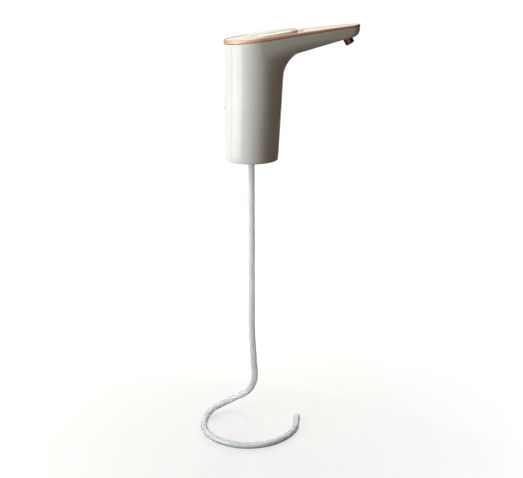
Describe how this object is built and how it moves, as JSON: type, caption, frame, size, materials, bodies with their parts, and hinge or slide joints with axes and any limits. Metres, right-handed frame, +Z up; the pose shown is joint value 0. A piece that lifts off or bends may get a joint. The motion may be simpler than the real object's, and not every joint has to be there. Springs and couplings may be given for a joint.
{
  "type": "electric water jug pump",
  "caption": "Electric pump head for a water jug: a round column over the neck, a tapering pouring arm with a metallic band, a press pad on top and an intake tube.",
  "frame": {"origin": "on the jug neck's axis, at the lower rim of the column", "axes": "+Z up along the neck's axis, +X along the pouring arm, +Y to the left of the arm"},
  "size_m": [0.1939, 0.1023, 0.514],
  "materials": {
    "gloss_white": "moulded, glossy",
    "rose_gold": "rose gold, bright satin",
    "inner_plastic": "moulded, satin",
    "chassis_plastic": "moulded, matt",
    "silicone_grip": "soft, matt",
    "silicone_hose": "translucent",
    "seal_rubber": "black, matt",
    "acetal": "moulded acetal, satin",
    "steel": "plain, bright",
    "motor_steel": "zinc plated",
    "black_plastic": "black, matt",
    "switch_cap": "moulded",
    "circuit_board": "green solder mask",
    "light": "pale yellow",
    "diffuser": "frosted",
    "cell_wrap": "blue plastic wrap",
    "clear_tube": "soft clear tube, translucent"
  },
  "bodies": {
    "pump_head": {"main_housing": "gloss_white", "top_panel": "gloss_white", "trim_band": "rose_gold", "nozzle": "rose_gold", "neck_collar": "inner_plastic", "chassis": "chassis_plastic", "neck_grip": "silicone_grip", "port_cover_tail": "silicone_grip", "suction_hose": "silicone_hose", "delivery_hose": "silicone_hose", "inlet_seal": "seal_rubber", "nozzle_seal": "seal_rubber", "shaft_seal": "seal_rubber", "inlet_fitting": "acetal", "inlet_nut": "acetal", "pump_cover": "acetal", "pump_body": "acetal", "nozzle_elbow": "acetal", "nozzle_straightener": "acetal", "board_screw_1": "steel", "board_screw_2": "steel", "board_screw_3": "steel", "board_screw_4": "steel", "deck_screw_1": "steel", "deck_screw_2": "steel", "deck_screw_3": "steel", "chassis_screw_1": "steel", "chassis_screw_2": "steel", "pump_screw_1": "steel", "pump_screw_2": "steel", "pump_screw_3": "steel", "pump_screw_4": "steel", "charging_screw_1": "steel", "charging_screw_2": "steel", "idler_pin": "steel", "charging_socket": "steel", "motor_can": "motor_steel", "pad_switch": "black_plastic", "motor_cap": "black_plastic", "control_board": "circuit_board", "charging_board": "circuit_board", "indicator_led": "light", "indicator_lens": "diffuser", "battery_cell": "cell_wrap", "intake_tube": "clear_tube"},
    "press_pad": {"press_pad": "gloss_white", "switch_plunger": "switch_cap"},
    "port_cover": {"port_cover": "silicone_grip"},
    "rotor": {"motor_shaft": "steel", "drive_gear": "acetal"},
    "idler": {"idler_gear": "acetal"}
  },
  "joints": [
    {"name": "pad_press", "type": "slide", "parent": "pump_head", "child": "press_pad", "axis": [0.1132, 0, -0.9936], "range_m": [0, 0.0008], "stiffness_N_per_m": 800, "springref_m": -0.0005},
    {"name": "cover_hinge", "type": "hinge", "parent": "pump_head", "child": "port_cover", "pos_m": [-0.0311, 0, 0.06325], "axis": [0, -1, 0], "range_deg": [0, 110], "stiffness_Nm_per_rad": 0.001},
    {"name": "motor_spin", "type": "hinge", "parent": "pump_head", "child": "rotor", "pos_m": [-0.00852, -0.00082, 0], "axis": [0, 0, 1], "continuous": true},
    {"name": "idler_spin", "type": "hinge", "parent": "pump_head", "child": "idler", "pos_m": [-0.00068, 0.00853, 0], "axis": [0, 0, 1], "continuous": true}
  ],
  "couplings": [
    {"joint": "idler_spin", "follows": "motor_spin", "ratio": -1}
  ]
}
